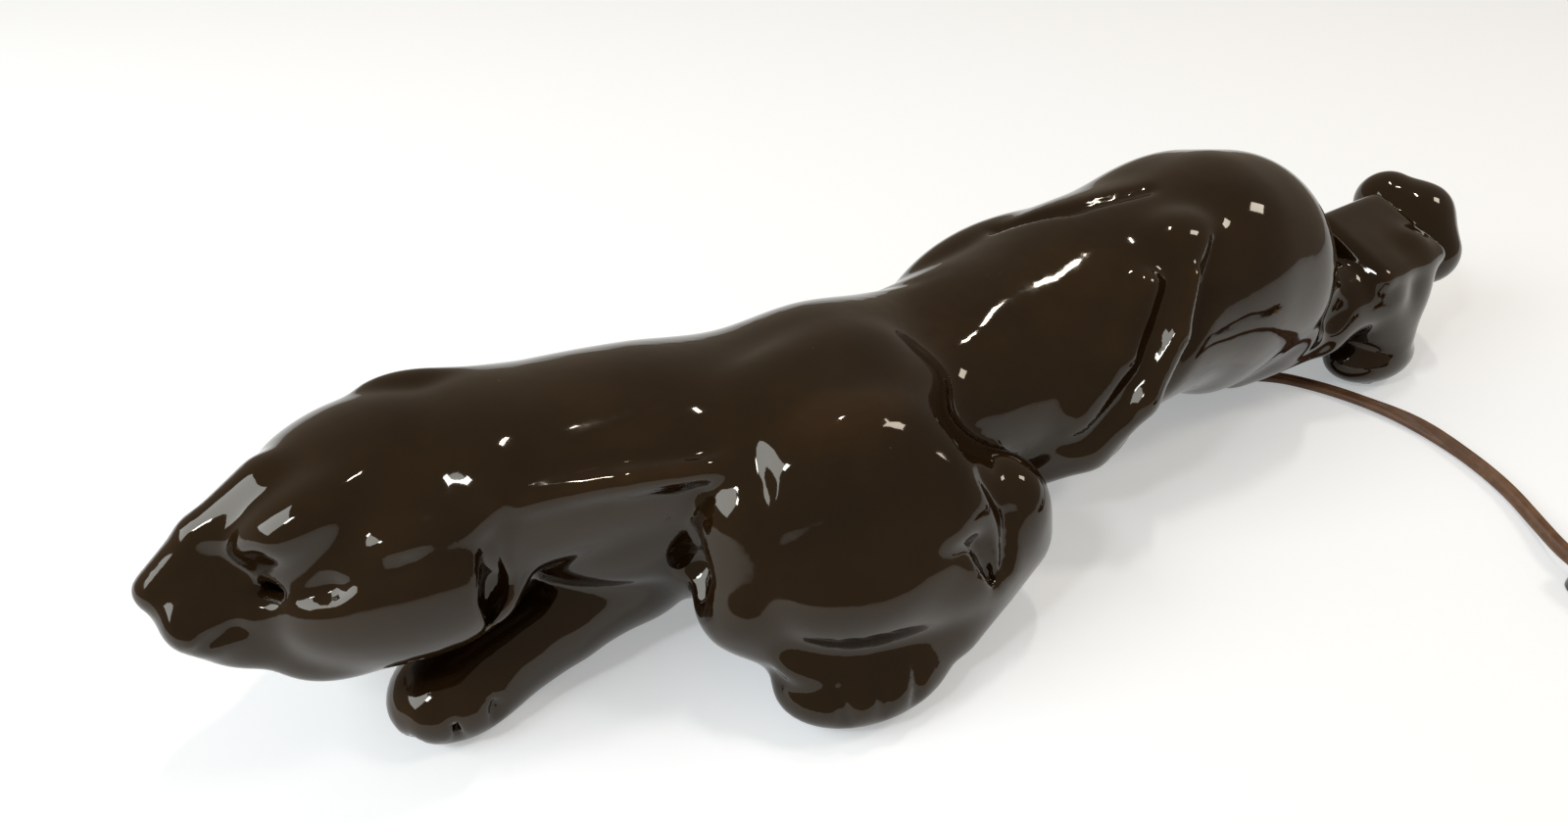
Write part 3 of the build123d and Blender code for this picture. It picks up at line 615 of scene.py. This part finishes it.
def cord_jacket():
    """Brown rubber-like jacket, dulled by handling."""
    finish = Finish("brown_cord")
    wear = finish.noise(9, 4, 0.6).between(0.35, 0.75)
    dust = finish.noise(1.5, 4, 0.7).between(0.6, 0.85)
    shade = finish.blend(wear, (0.105, 0.045, 0.018), (0.180, 0.088, 0.040))
    shade = finish.blend(dust * 0.35, shade, (0.27, 0.18, 0.11))
    relief = finish.noise(0.9, 3) + finish.noise(3, 2) * 0.5
    rough = 0.42 + dust * 0.25 + wear * 0.08
    return finish.surface(relief, 0.06, Base_Color=shade, Roughness=rough)


def felt():
    """Pressed felt, matted and hairy."""
    finish = Finish("felt")
    hair = finish.noise(0.9, 5, 0.75, None, 2.0)
    shade = finish.blend(hair, (0.055, 0.045, 0.034), (0.15, 0.12, 0.09))
    return finish.surface(hair, 0.5, Base_Color=shade, Roughness=0.95, Sheen_Weight=0.5)


def paper_fibre():
    """Red vulcanised fibre and card."""
    finish = Finish("fibre")
    hair = finish.noise(2.0, 5, 0.7, (1, 6, 1))
    shade = finish.blend(hair, (0.20, 0.055, 0.030), (0.33, 0.11, 0.06))
    return finish.surface(hair, 0.08, Base_Color=shade, Roughness=0.6 + hair * 0.2)


def frosted_glass():
    """Bulb glass, etched white inside."""
    finish = Finish("bulb_glass")
    cloud = finish.noise(8, 4, 0.6)
    shade = finish.blend(cloud, (0.93, 0.93, 0.91), (0.86, 0.87, 0.86))
    rough = 0.16 + cloud * 0.12
    return finish.surface(
        finish.noise(18, 2), 0.05, Base_Color=shade, Roughness=rough, IOR=1.45,
        Transmission_Weight=0.55, Coat_Weight=0.6, Coat_Roughness=0.04,
    )


def clear_glass(name, colour):
    """Drawn glass with a few seeds in it."""
    finish = Finish(name)
    seeds = finish.noise(4, 3).between(0.5, 0.8)
    shade = finish.blend(seeds, colour, tuple(v * 0.9 for v in colour))
    return finish.surface(
        seeds, 0.05, Base_Color=shade, Roughness=0.05 + seeds * 0.05, IOR=1.5,
        Transmission_Weight=0.9,
    )


# ---- turned and wound pieces ----
ROOT = "lamp"
THREAD = 3.63  # pitch of the bulb's thread


def turned_shape(profile, place, around=72, ripple=None):
    """A closed turned shape; place takes (along, out sideways, out upward) to the frame."""
    points, faces = [], []
    for along, radius in profile:
        for i in range(around):
            angle = 2 * math.pi * i / around
            out = radius + (ripple(along, radius, angle) if ripple else 0)
            points.append(place(along, out * math.cos(angle), out * math.sin(angle)))
    rings = len(profile)
    for r in range(rings):
        after = (r + 1) % rings
        for i in range(around):
            j = (i + 1) % around
            faces.append((r * around + i, r * around + j, after * around + j, after * around + i))
    return points, faces


def joined(*shapes):
    """Several (points, faces) shapes as one."""
    points, faces = [], []
    for some_points, some_faces in shapes:
        faces += [tuple(corner + len(points) for corner in face) for face in some_faces]
        points += [tuple(point) for point in some_points]
    return points, faces


def upright_at(x, y):
    """Places a turned shape that stands on the frame's floor at a point."""
    return lambda along, side, out: (x + side, y + out, along)


def on_bulb_axis(along, side, up):
    """Millimetres along the lamp's axis from the bracket, and out from it."""
    return BRACKET_FACE - along, BULB_AXIS[0] + side, BULB_AXIS[1] + up


def rolled(profile, start, end, depth, step=0.3):
    """A sleeve profile of (along, radius) with fine stations, and its thread's ripple."""
    def ripple(along, radius, angle):
        if not start < along < end:
            return 0.0
        fade = min(1.0, (along - start) / 2, (end - along) / 2)
        return depth * fade * math.cos(2 * math.pi * along / THREAD + angle)

    fine = []
    for (a0, r0), (a1, r1) in zip(profile, profile[1:] + profile[:1]):
        count = max(1, int(abs(a1 - a0) / step))
        fine += [(a0 + (a1 - a0) * k / count, r0 + (r1 - r0) * k / count) for k in range(count)]
    return fine, ripple


def along_route(name, route):
    """The smooth line of a route's control points, in metres."""
    curve = bpy.data.curves.new(name, "CURVE")
    curve.dimensions = "3D"
    spline = curve.splines.new("NURBS")
    spline.points.add(len(route) - 1)
    for point, at in zip(spline.points, route):
        point.co = (*at, 1)
    spline.order_u = 3
    spline.use_endpoint_u = True
    spline.resolution_u = 8
    line = bpy.data.objects.new(name, curve)
    bpy.context.scene.collection.objects.link(line)
    mesh = bpy.data.meshes.new_from_object(line)
    points = np.array([tuple(vertex.co) for vertex in mesh.vertices])
    bpy.data.objects.remove(line)
    bpy.data.meshes.remove(mesh)
    bpy.data.curves.remove(curve)
    return points


def swept_shape(line, section, wide, closed=False):
    """A section of (across, thick) points swept along a line; wide is the across direction."""
    tangent = np.roll(line, -1, 0) - np.roll(line, 1, 0) if closed else np.gradient(line, axis=0)
    tangent /= np.linalg.norm(tangent, axis=1)[:, None]
    wide = wide - (wide * tangent).sum(1)[:, None] * tangent
    wide /= np.linalg.norm(wide, axis=1)[:, None]
    thick = np.cross(tangent, wide)
    across, up = section[None, :, :1], section[None, :, 1:]
    points = line[:, None, :] + across * wide[:, None] + up * thick[:, None]
    count, around = len(line), len(section)
    faces = []
    for i in range(count if closed else count - 1):
        after = (i + 1) % count
        for j in range(around):
            k = (j + 1) % around
            faces.append((i * around + j, after * around + j, after * around + k, i * around + k))
    if not closed:
        faces.append(tuple(range(around)))
        faces.append(tuple(reversed(range((count - 1) * around, count * around))))
    return points.reshape(-1, 3), faces


def wire_shape(line, radius, around=10):
    """A round wire along a line, without twist."""
    line = np.array(line, float)
    tangent = np.gradient(line, axis=0)
    tangent /= np.linalg.norm(tangent, axis=1)[:, None]
    wide = np.empty_like(line)
    across = np.cross(tangent[0], (0.31, 0.52, 0.79))
    for i, ahead in enumerate(tangent):
        across = across - (across @ ahead) * ahead
        across /= np.linalg.norm(across)
        wide[i] = across
    return swept_shape(line, flat_section(2 * radius, 2 * radius, around, 1), wide)


def flat_section(across, thick, around, squareness=1.0):
    """Points of a rounded section, from an ellipse at 1 to nearly a rectangle at 4."""
    section = []
    for i in range(around):
        angle = 2 * math.pi * (i + 0.5) / around
        c, s = math.cos(angle), math.sin(angle)
        share = 1 / squareness
        section.append((
            math.copysign(0.5 * across * abs(c) ** share, c),
            math.copysign(0.5 * thick * abs(s) ** share, s),
        ))
    return np.array(section)


fire_casting()

# ---- cord: flat two-core, from the grommet to the plug ----
CORD_WIDTH, CORD_THICK = 0.0066, 0.0034
COIL_CENTRE, COIL_TURN, COIL_TURNS, COIL_PITCH = (0.22675, -0.2168), 0.035, 6.5, 0.0036
COIL_LOW, COIL_STEP = 0.0043, 0.0066
POINTS_A_TURN = 16
CORD_EXIT = (0.1500, 0.0240, 0.0205)
STEEP = 0.35  # below this a run has no level side of its own
TWIST_START, TWIST_RUN = 0.085, 0.05  # where the flat cord turns on to its edge
CORD_CORNERS, WAIST = 28, 0.55  # points round the cord, and its least thickness between the cores
ROUTE = [
    CORD_EXIT, (0.1500, 0.0240, 0.0130), (0.1550, 0.0230, 0.0056),
    (0.1660, 0.0200, 0.0024), (0.1840, 0.0115, 0.0020), (0.1955, -0.0020, 0.0020),
    (0.2045, -0.0185, 0.0024), (0.2120, -0.0415, 0.0034), (0.2125, -0.0660, 0.0034),
    (0.2085, -0.0890, 0.0034), (0.1995, -0.1080, 0.0040), (0.1902, -0.1241, 0.0062),
    (0.1889, -0.1370, 0.0065), (0.1869, -0.1569, 0.0065), (0.1849, -0.1768, 0.0065),
    (0.1836, -0.1897, 0.0065), (0.1862, -0.2048, 0.0049), (0.1859, -0.2168, 0.0043),
]
coil_points = int(COIL_TURNS * POINTS_A_TURN)
for i in range(1, coil_points + 1):
    turn = i / coil_points * COIL_TURNS
    inward = 1 - abs(turn / COIL_TURNS * 2 - 1)  # the lower layer winds in, the upper one out
    radius = COIL_TURN + COIL_TURNS / 4 * COIL_PITCH * (1 - 2 * inward)
    climb = min(max((turn - COIL_TURNS / 2) / 0.5 + 0.5, 0), 1)
    angle = math.pi + 2 * math.pi * turn
    ROUTE.append((
        COIL_CENTRE[0] + radius * math.cos(angle), COIL_CENTRE[1] + radius * math.sin(angle),
        COIL_LOW + COIL_STEP * climb,
    ))
ROUTE += [
    (0.2682, -0.2078, 0.0103), (0.2652, -0.1800, 0.0080), (0.2651, -0.1670, 0.0084),
    (0.2655, -0.1580, 0.0085),
]
line = along_route("cord_route", ROUTE)
run = np.concatenate([[0], np.cumsum(np.linalg.norm(np.diff(line, axis=0), axis=1))])
heading = np.gradient(line, axis=0)
heading /= np.linalg.norm(heading, axis=1)[:, None]
side = np.cross((0, 0, 1), heading)
steep = np.linalg.norm(side, axis=1) < STEEP
first_level = int(np.argmin(steep))
side[:first_level] = side[first_level]
side /= np.maximum(np.linalg.norm(side, axis=1), TINY)[:, None]
lift = np.cross(heading, side)
on_edge = np.clip((run - TWIST_START) / TWIST_RUN, 0, 1)
on_edge = 0.5 * math.pi * on_edge * on_edge * (3 - 2 * on_edge)
wide = np.cos(on_edge)[:, None] * side + np.sin(on_edge)[:, None] * lift
section = []
core = 0.25 * CORD_WIDTH  # each of the two cores' radius
for i in range(CORD_CORNERS):
    angle = 2 * math.pi * (i + 0.5) / CORD_CORNERS
    across = 0.5 * CORD_WIDTH * math.cos(angle)
    thick = math.sqrt(max(core**2 - (abs(across) - core) ** 2, 0)) * CORD_THICK / (2 * core)
    if abs(across) < core:
        thick = max(thick, WAIST * core)
    section.append((across, math.copysign(thick, math.sin(angle))))
cord_section = np.array(section)
cord = mesh_piece("flat_cord", *swept_shape(line, cord_section, wide), ROOT, 1.0)
cord.data.materials.append(cord_jacket())
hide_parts("cord_lamp_side", "cord_mid", "cord_coil", "cord_plug_side")

# ---- tie round the put-away coil: a plastic strap with its tongue lapped over ----
TIE_ANGLE, TIE_WIDTH, TIE_THICK = math.radians(-70), 8.0, 0.9
TIE_RADIUS, TIE_MIDDLE, TIE_OUT, TIE_UP = 35.0, 7.6, 8.65, 7.15
LAP = 0.8  # how far the tongue stands off the loop, and its share of the loop's section
TIE_SQUARE = 0.42  # the lower, the squarer the loop
outward = np.array((math.cos(TIE_ANGLE), math.sin(TIE_ANGLE), 0))
along_turn = np.array((-math.sin(TIE_ANGLE), math.cos(TIE_ANGLE), 0))
coil_middle = np.array((1000 * COIL_CENTRE[0], 1000 * COIL_CENTRE[1], TIE_MIDDLE))
coil_middle = coil_middle + TIE_RADIUS * outward


def strap_line(start, end, count, out, up):
    """Part of the strap's rounded loop between two angles in degrees."""
    points = []
    for i in range(count):
        angle = math.radians(start + (end - start) * i / count)
        c, s = math.cos(angle), math.sin(angle)
        across = math.copysign(abs(c) ** TIE_SQUARE, c) * out + 0.08 * math.sin(11 * angle)
        height = math.copysign(abs(s) ** TIE_SQUARE, s) * up
        points.append(coil_middle + across * outward + (0, 0, height))
    return np.array(points)


strap = flat_section(TIE_WIDTH, TIE_THICK, 24, 3)
loop = strap_line(0, 360, 96, TIE_OUT, TIE_UP)
tongue = strap_line(58, 128, 24, TIE_OUT, TIE_UP + LAP)
tie = mesh_piece("coil_strap", *joined(
    swept_shape(loop, strap, np.tile(along_turn, (len(loop), 1)), True),
    swept_shape(tongue, strap * (LAP, LAP), np.tile(along_turn, (len(tongue), 1))),
), ROOT)
tie.data.materials.append(moulded("tie", (0.030, 0.029, 0.028), (0.060, 0.056, 0.052), 0.5))
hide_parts("coil_tie")

# ---- bulb and socket metal with rolled threads ----
base_profile = [
    (24.9, 9.2), (25.2, 12.2), (26.2, 12.6), (43.4, 12.6), (44.6, 12.9), (46.0, 12.9), (46.0, 12.5),
    (26.6, 12.1), (25.6, 9.2),
]
profile, ripple = rolled(base_profile, 26.5, 43.0, 0.35)
base = mesh_piece("threaded_base", *turned_shape(profile, on_bulb_axis, 96, ripple), "bulb")
base.data.materials.append(metal("aluminium_cap", (0.80, 0.80, 0.79), (0.55, 0.53, 0.49), 0.2))
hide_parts("bulb_base")

STEEL = metal("plated_steel", (0.62, 0.60, 0.55), (0.30, 0.23, 0.16), 0.28)
BRASS = metal("brass", (0.72, 0.48, 0.18), (0.30, 0.17, 0.07), 0.26)


def fit_piece(name, shape, body, material, old):
    """A finished piece in the place of one from the model."""
    piece = mesh_piece(name, *shape, body)
    piece.data.materials.append(material)
    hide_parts(old)


shell_profile = [(17.0, 9.0), (17.0, 13.8), (39.0, 13.8), (39.0, 13.3), (17.6, 13.3), (17.6, 9.0)]
profile, ripple = rolled(shell_profile, 19.0, 38.5, 0.15)
shell = turned_shape(profile, on_bulb_axis, 96, ripple)
fit_piece("threaded_shell", shell, ROOT, BRASS, "screw_shell")

STEM_TOP, HOOKS, PEAK = 68.0, 80.0, 83.0  # along the bulb's axis
BENDS = [
    (STEM_TOP + 0.4, 1.6), (STEM_TOP + 3.5, 2.6), (HOOKS - 2.5, 7.0), (HOOKS - 0.4, 8.0),
    (HOOKS + 0.4, 7.7), (HOOKS + 0.2, 7.0),
]
wires = []
for toward in (-1, 1):
    bent = [on_bulb_axis(along, 0, toward * up) for along, up in BENDS]
    wires.append(wire_shape(bent, 0.3, 8))
FILAMENT = metal("filament_wire", (0.34, 0.34, 0.36), (0.18, 0.18, 0.20), 0.4)
fit_piece("hooked_supports", joined(*wires), "bulb", FILAMENT, "bulb_supports")
coils = []
COILS, COIL_POINTS, COIL_RADIUS, FILAMENT_SPAN = 32, 10, 0.32, 7.1
for i in range(COILS * COIL_POINTS + 1):
    share = i / (COILS * COIL_POINTS)
    angle = 2 * math.pi * i / COIL_POINTS
    across = FILAMENT_SPAN * (2 * share - 1)
    along = HOOKS + (PEAK - HOOKS) * (1 - abs(2 * share - 1))
    along, out = along + COIL_RADIUS * math.cos(angle), COIL_RADIUS * math.sin(angle)
    coils.append(on_bulb_axis(along, out, across))
coiled = wire_shape(coils, 0.09, 6)
fit_piece("coiled_filament", coiled, "bulb", FILAMENT, "bulb_filament")

# ---- cord entry: grommet, knot and the two leads ----
EXIT, KNOT_MIDDLE = 20.5, 36.0
KNOT_LENGTH, KNOT_WIDTH, KNOT_RISE = 1.95, 1.65, 3.0  # the loops of the knot
grommet_profile = [
    (20.5, 3.9), (20.5, 7.3), (20.7, 7.8), (21.2, 8.0), (21.8, 7.9), (22.0, 7.5), (22.0, 5.6),
    (29.5, 5.6), (29.5, 7.5), (29.7, 7.9), (30.3, 8.0), (30.8, 7.8), (31.0, 7.3), (31.0, 3.9),
    (30.6, 3.55), (20.9, 3.55),
]
RUBBER = moulded("rubber", (0.016, 0.015, 0.014), (0.034, 0.031, 0.028), 0.6)
grommet = turned_shape(grommet_profile, upright_at(*CORD_AT), 64)
fit_piece("soft_grommet", grommet, ROOT, RUBBER, "cord_grommet")
LEAD = moulded("lead_jacket", (0.036, 0.017, 0.009), (0.06, 0.03, 0.016), 0.5)
loops = []
for i in range(97):  # the two cores tied in an overhand knot
    turn = 2 * math.pi * i / 96
    loops.append((
        CORD_AT[0] + KNOT_LENGTH * (math.sin(turn) + 2 * math.sin(2 * turn)),
        CORD_AT[1] + KNOT_WIDTH * (math.cos(turn) - 2 * math.cos(2 * turn)),
        KNOT_MIDDLE - KNOT_RISE * math.sin(3 * turn),
    ))
through = np.array([(*CORD_AT, EXIT + (KNOT_MIDDLE - EXIT) * i / 6) for i in range(7)])
inner_cord = swept_shape(through, 1000 * cord_section * 0.97, np.tile((0.0, 1.0, 0.0), (7, 1)))
knot = joined(wire_shape(loops, 1.9, 14), inner_cord)
fit_piece("knotted_cord", knot, ROOT, LEAD, "cord_knot")
leads = []
for toward in (-1, 1):
    y, z = BULB_AXIS[0] + 1.5 * toward, BULB_AXIS[1] + 0.6 * toward
    route = [
        (BRACKET_FACE - 6.4, y, z), (BRACKET_FACE, y, z), (BRACKET_FACE + 8, y, z),
        (BRACKET_FACE + 15, y + 0.6 * toward, z - 2.2),
        (CORD_AT[0], CORD_AT[1] + 2.6 * toward, 52),
        (CORD_AT[0] + 1.4, CORD_AT[1] + 2.6 * toward, 46),
        (CORD_AT[0] + 1, CORD_AT[1] + 2.4 * toward, 40.5),
    ]
    leads.append(wire_shape(along_route("lead", route), 1.3, 12))
fit_piece("lead_pair", joined(*leads), ROOT, LEAD, "lamp_leads")

# ---- felt under the paws, with worn edges ----
PAWS = [(-74, -52), (-198, 0), (224, -4), (222, 52)]
pad_profile = [
    (0.0, 0.05), (0.0, 2.5), (0.0, 5.0), (0.0, 7.2), (0.05, 7.6), (0.35, 8.0), (1.1, 8.05),
    (1.5, 7.8), (1.5, 0.05),
]


def frayed(along, radius, angle):
    """How far the felt's edge strays in or out; its middle stays."""
    if radius < 1:
        return 0.0
    return 0.10 * math.sin(7 * angle + along) + 0.07 * math.sin(17 * angle + 3 * along) - 0.17


pads = [turned_shape(pad_profile, upright_at(x, y), 64, frayed) for x, y in PAWS]
fit_piece("worn_felt", joined(*pads), ROOT, felt(), "felt_pads")

# ---- finishes on the pieces kept from the model ----
KEPT = [
    (STEEL, "socket_bracket bracket_screw lock_washer bracket_nut"),
    (STEEL, "switch_screws switch_nuts switch_axle"),
    (BRASS, "socket_nipple nipple_nut socket_cap socket_sleeve centre_contact terminal_screws"),
    (BRASS, "switch_contacts plug_screws plug_blades"),
    (paper_fibre(), "fibre_washers socket_liner plug_cover"),
    (moulded("phenolic", (0.018, 0.013, 0.010), (0.040, 0.026, 0.018), 0.3), "terminal_block"),
    (moulded("brown_phenolic", (0.060, 0.024, 0.011), (0.022, 0.011, 0.007), 0.22, 0.3),
     "switch_upper_half switch_lower_half plug_body plug_core"),
    (moulded("cream_plastic", (0.66, 0.56, 0.38), (0.54, 0.43, 0.27), 0.34), "switch_wheel"),
    (frosted_glass(), "bulb_glass"),
    (clear_glass("clear_glass", (0.92, 0.95, 0.94)), "bulb_stem"),
    (clear_glass("black_glass", (0.012, 0.012, 0.014)), "bulb_insulator"),
    (metal("solder", (0.60, 0.60, 0.60), (0.34, 0.34, 0.35), 0.34), "bulb_tip"),
]
for material, names in KEPT:
    for name in names.split():
        piece = nodes[name]
        if not piece.material_slots:
            piece.data.materials.append(material)
        for held in piece.material_slots:
            held.material = material


# ---- floor, light and camera ----
FLOOR_GLOW, ROOM_LEVEL, ROOM_COLOUR = 0.34, 0.34, (1.0, 0.85, 0.68, 1)
LAMPS_TOWARD = (0, 0, 0.05)


def floor_finish():
    """A pale floor that keeps its shadows; the glaze mirrors its glow as the eye sees it."""
    finish = Finish("pale_floor")
    grain = finish.noise(3, 4)
    shade = finish.blend(grain, (0.80, 0.80, 0.80), (0.76, 0.76, 0.76))
    kinds = ("Is Camera Ray", "Is Glossy Ray", "Is Transmission Ray")
    seen = sum(finish.node("ShaderNodeLightPath", out=kind) for kind in kinds)
    glow = finish.blend(seen, (0, 0, 0), (0.92, 0.97, 1.0))
    return finish.surface(
        grain, 0.02, Base_Color=shade, Roughness=0.75, Emission_Color=glow,
        Emission_Strength=FLOOR_GLOW,
    )


bpy.ops.mesh.primitive_circle_add(vertices=96, radius=2.4, fill_type="NGON", location=(0, 0, 0))
floor = bpy.context.object
floor.name = "pale_floor"
floor.data.materials.append(floor_finish())


def soft_lamp(name, place, size, power, colour):
    """A flat lamp turned toward the middle of the panther; power in watts."""
    light = bpy.data.lights.new(name, "AREA")
    light.shape, light.size, light.size_y = "RECTANGLE", *size
    light.energy, light.color = power, colour
    lamp = bpy.data.objects.new(name, light)
    lamp.location = place
    ahead = Vector(LAMPS_TOWARD) - Vector(place)
    lamp.rotation_euler = ahead.to_track_quat("-Z", "Y").to_euler()
    bpy.context.scene.collection.objects.link(lamp)


soft_lamp("window_light", (-1.3, 0.15, 1.0), (1.0, 0.8), 16, (0.86, 0.94, 1.0))
soft_lamp("window_pane", (-1.1, -0.35, 1.25), (0.13, 0.24), 4, (0.88, 0.94, 1.0))
soft_lamp("ceiling_light", (0.30, 0.36, 1.7), (0.07, 0.22), 4, (1.0, 0.94, 0.86))
soft_lamp("room_light", (1.1, -0.5, 1.35), (0.30, 0.40), 5, (1.0, 0.95, 0.88))

# ---- room: even light from every side ----
world = bpy.data.worlds.new("room")
bpy.context.scene.world = world
world.use_nodes = True
around = world.node_tree.nodes["Background"].inputs
around["Color"].default_value, around["Strength"].default_value = ROOM_COLOUR, ROOM_LEVEL


def set_camera(azimuth, elevation, roll, distance, target, lens):
    """A camera looking at a point from a direction; lengths in metres, angles in degrees."""
    a, e, r = (math.radians(v) for v in (azimuth, elevation, roll))
    back = Vector((math.sin(a) * math.cos(e), -math.cos(a) * math.cos(e), math.sin(e)))
    right = (-back).cross(Vector((0, 0, 1))).normalized()
    up = right.cross(-back)
    right, up = math.cos(r) * right + math.sin(r) * up, math.cos(r) * up - math.sin(r) * right
    data = bpy.data.cameras.new("camera")
    data.sensor_width, data.lens, data.clip_start, data.clip_end = 36, lens, 0.01, 20
    camera = bpy.data.objects.new("camera", data)
    place = Matrix((right, up, back)).transposed().to_4x4()
    place.translation = Vector(target) + distance * back
    camera.matrix_world = place
    bpy.context.scene.collection.objects.link(camera)
    bpy.context.scene.camera = camera


set_camera(-27.0, 38.5, 0.4, 0.385, (-0.064, 0.031, 0.054), 1067 / 1600 * 36)
bpy.context.scene.view_settings.view_transform = "Standard"
